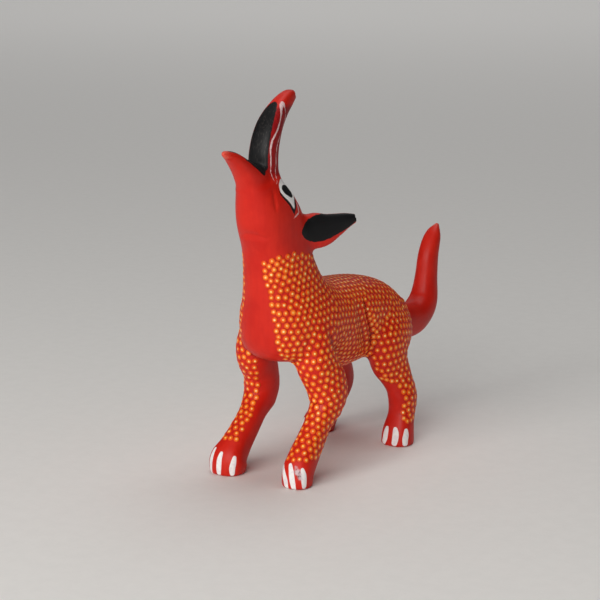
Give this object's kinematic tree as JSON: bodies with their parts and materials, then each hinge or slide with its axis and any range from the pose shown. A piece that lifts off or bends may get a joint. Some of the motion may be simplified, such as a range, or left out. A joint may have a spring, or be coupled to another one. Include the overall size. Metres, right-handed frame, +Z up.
{
  "type": "alebrije dog figure",
  "caption": "Carved and painted wooden dog that howls with its head thrown back, bright red with a fine pattern of orange and yellow dots over its body.",
  "frame": {"origin": "middle of the footprint box, at the level of the soles", "axes": "the dog looks along -Y, its left side is +X, +Z is up"},
  "size_m": [0.037, 0.1144, 0.105],
  "materials": {
    "red_paint": "carved soft wood under a satin red acrylic paint"
  },
  "bodies": {
    "root": {"dog": "red_paint"}
  },
  "joints": []
}
